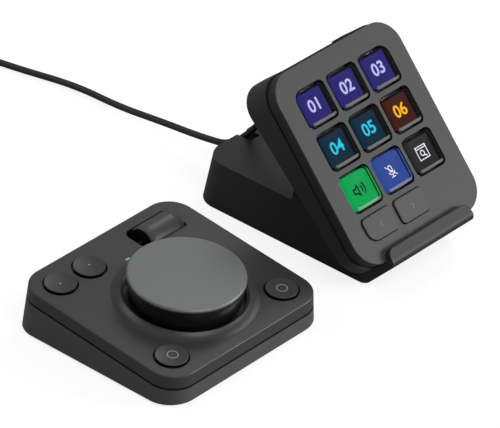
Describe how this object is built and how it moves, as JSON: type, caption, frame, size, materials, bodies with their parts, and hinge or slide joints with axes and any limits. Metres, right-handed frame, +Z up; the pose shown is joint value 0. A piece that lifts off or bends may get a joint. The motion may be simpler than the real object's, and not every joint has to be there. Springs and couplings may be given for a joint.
{
  "type": "desk control keypad and dial pad",
  "caption": "Desk control set: tilted square pad with a large dial, roller and round buttons, beside a display-key pad leaning on a wedge stand with its cable.",
  "frame": {"origin": "table level, under the centre of the two units without the cable", "axes": "+X right along the desk, dial pad left and keypad right; +Y away from the user; +Z up"},
  "size_m": [0.1864, 0.3227, 0.086],
  "materials": {
    "graphite_top": "fine matte moulding",
    "graphite_base": "fine matte moulding",
    "foot_rubber": "soft matte",
    "screw_steel": "plain steel",
    "board_green": "solder-masked board",
    "cell_jacket": "printed foil jacket",
    "contact_nickel": "nickel plate",
    "slider_black": "matte moulding",
    "inner_black": "plain moulding",
    "dial_grey": "satin anodised look",
    "dial_gloss": "piano gloss",
    "bush_brass": "turned",
    "roller_dark": "satin with fine knurl",
    "status_green": "lit light pipe",
    "button_black": "satin",
    "keypad_grey": "fine matte moulding",
    "keypad_back": "fine matte moulding",
    "inner_rubber": "silicone mat",
    "display_glass": "screen glass",
    "key_clear": "clear dished caps",
    "page_grey": "fine matte moulding",
    "stand_black": "matte moulding",
    "cable_black": "smooth soft jacket",
    "cable_tie": "hook-and-loop strap",
    "plug_black": "soft overmould"
  },
  "bodies": {
    "desk_set": {"dialpad_top_cover": "graphite_top", "dialpad_base": "graphite_base", "dialpad_feet": "foot_rubber", "dialpad_screws": "screw_steel", "dialpad_board": "board_green", "battery_cells": "cell_jacket", "battery_contacts": "contact_nickel", "power_switch_case": "inner_black", "pairing_switch_case": "inner_black", "dial_bush": "bush_brass", "dial_encoder": "inner_black", "roller_tub": "inner_black", "button_domes": "contact_nickel", "status_light": "status_green", "keypad_face_plate": "keypad_grey", "keypad_rear_shell": "keypad_back", "key_mat": "inner_rubber", "display_panel": "display_glass", "keypad_board": "board_green", "page_domes": "contact_nickel", "keypad_socket": "contact_nickel", "keypad_screws": "screw_steel", "stand_shell": "stand_black", "stand_base_plate": "stand_black", "stand_feet": "foot_rubber", "cable_tube": "cable_black", "cable_tail": "cable_black", "cable_coil": "cable_black", "cable_tie": "cable_tie", "usb_plug": "plug_black", "usb_plug_boot": "plug_black", "usb_plug_shell": "contact_nickel", "far_plug": "plug_black", "far_plug_boot": "plug_black", "far_plug_shell": "contact_nickel"},
    "dial": {"dial_disc": "dial_grey", "dial_skirt": "dial_gloss", "dial_shaft": "screw_steel", "dial_clip": "screw_steel"},
    "roller": {"roller_drum": "roller_dark", "roller_axle": "screw_steel"},
    "battery_cover": {"battery_door": "graphite_base", "battery_door_pins": "screw_steel"},
    "power_switch": {"power_slider": "slider_black"},
    "pairing_key": {"pairing_button": "slider_black"},
    "button_back_left": {"button_back_left": "button_black"},
    "button_back_inner": {"button_back_inner": "button_black"},
    "button_front_left": {"button_front_left": "button_black"},
    "button_front_right": {"button_front_right": "button_black"},
    "display_key_1": {"display_key_1": "key_clear"},
    "display_key_2": {"display_key_2": "key_clear"},
    "display_key_3": {"display_key_3": "key_clear"},
    "display_key_4": {"display_key_4": "key_clear"},
    "display_key_5": {"display_key_5": "key_clear"},
    "display_key_6": {"display_key_6": "key_clear"},
    "display_key_7": {"display_key_7": "key_clear"},
    "display_key_8": {"display_key_8": "key_clear"},
    "display_key_9": {"display_key_9": "key_clear"},
    "page_key_left": {"page_key_left": "page_grey"},
    "page_key_right": {"page_key_right": "page_grey"}
  },
  "joints": [
    {"name": "dial_spin", "type": "hinge", "parent": "desk_set", "child": "dial", "pos_m": [-0.04693, -0.0123, 0.02961], "axis": [0, -0.1037, 0.9946], "continuous": true},
    {"name": "roller_spin", "type": "hinge", "parent": "desk_set", "child": "roller", "pos_m": [-0.02162, 0.02837, 0.01897], "axis": [1, 0, 0], "continuous": true},
    {"name": "battery_cover_hinge", "type": "hinge", "parent": "desk_set", "child": "battery_cover", "pos_m": [-0.06392, 0.00401, 0.00185], "axis": [-1, 0, 0], "range_deg": [0, 100]},
    {"name": "power_switch_slide", "type": "slide", "parent": "desk_set", "child": "power_switch", "axis": [1, 0, 0], "range_m": [0, 0.003]},
    {"name": "pairing_key_press", "type": "slide", "parent": "desk_set", "child": "pairing_key", "axis": [0, 0, 1], "range_m": [0, 0.0005], "stiffness_N_per_m": 400, "springref_m": -0.0005},
    {"name": "button_back_left_press", "type": "slide", "parent": "desk_set", "child": "button_back_left", "axis": [0, 0.1037, -0.9946], "range_m": [0, 0.0007], "stiffness_N_per_m": 400, "springref_m": -0.0005},
    {"name": "button_back_inner_press", "type": "slide", "parent": "desk_set", "child": "button_back_inner", "axis": [0, 0.1037, -0.9946], "range_m": [0, 0.0007], "stiffness_N_per_m": 400, "springref_m": -0.0005},
    {"name": "button_front_left_press", "type": "slide", "parent": "desk_set", "child": "button_front_left", "axis": [0, 0.1037, -0.9946], "range_m": [0, 0.0007], "stiffness_N_per_m": 400, "springref_m": -0.0005},
    {"name": "button_front_right_press", "type": "slide", "parent": "desk_set", "child": "button_front_right", "axis": [0, 0.1037, -0.9946], "range_m": [0, 0.0007], "stiffness_N_per_m": 400, "springref_m": -0.0005},
    {"name": "display_key_1_press", "type": "slide", "parent": "desk_set", "child": "display_key_1", "axis": [0, 0.7705, -0.6374], "range_m": [0, 0.0008], "stiffness_N_per_m": 400, "springref_m": -0.0005},
    {"name": "display_key_2_press", "type": "slide", "parent": "desk_set", "child": "display_key_2", "axis": [0, 0.7705, -0.6374], "range_m": [0, 0.0008], "stiffness_N_per_m": 400, "springref_m": -0.0005},
    {"name": "display_key_3_press", "type": "slide", "parent": "desk_set", "child": "display_key_3", "axis": [0, 0.7705, -0.6374], "range_m": [0, 0.0008], "stiffness_N_per_m": 400, "springref_m": -0.0005},
    {"name": "display_key_4_press", "type": "slide", "parent": "desk_set", "child": "display_key_4", "axis": [0, 0.7705, -0.6374], "range_m": [0, 0.0008], "stiffness_N_per_m": 400, "springref_m": -0.0005},
    {"name": "display_key_5_press", "type": "slide", "parent": "desk_set", "child": "display_key_5", "axis": [0, 0.7705, -0.6374], "range_m": [0, 0.0008], "stiffness_N_per_m": 400, "springref_m": -0.0005},
    {"name": "display_key_6_press", "type": "slide", "parent": "desk_set", "child": "display_key_6", "axis": [0, 0.7705, -0.6374], "range_m": [0, 0.0008], "stiffness_N_per_m": 400, "springref_m": -0.0005},
    {"name": "display_key_7_press", "type": "slide", "parent": "desk_set", "child": "display_key_7", "axis": [0, 0.7705, -0.6374], "range_m": [0, 0.0008], "stiffness_N_per_m": 400, "springref_m": -0.0005},
    {"name": "display_key_8_press", "type": "slide", "parent": "desk_set", "child": "display_key_8", "axis": [0, 0.7705, -0.6374], "range_m": [0, 0.0008], "stiffness_N_per_m": 400, "springref_m": -0.0005},
    {"name": "display_key_9_press", "type": "slide", "parent": "desk_set", "child": "display_key_9", "axis": [0, 0.7705, -0.6374], "range_m": [0, 0.0008], "stiffness_N_per_m": 400, "springref_m": -0.0005},
    {"name": "page_key_left_press", "type": "slide", "parent": "desk_set", "child": "page_key_left", "axis": [0, 0.7705, -0.6374], "range_m": [0, 0.0006], "stiffness_N_per_m": 400, "springref_m": -0.0005},
    {"name": "page_key_right_press", "type": "slide", "parent": "desk_set", "child": "page_key_right", "axis": [0, 0.7705, -0.6374], "range_m": [0, 0.0006], "stiffness_N_per_m": 400, "springref_m": -0.0005}
  ]
}
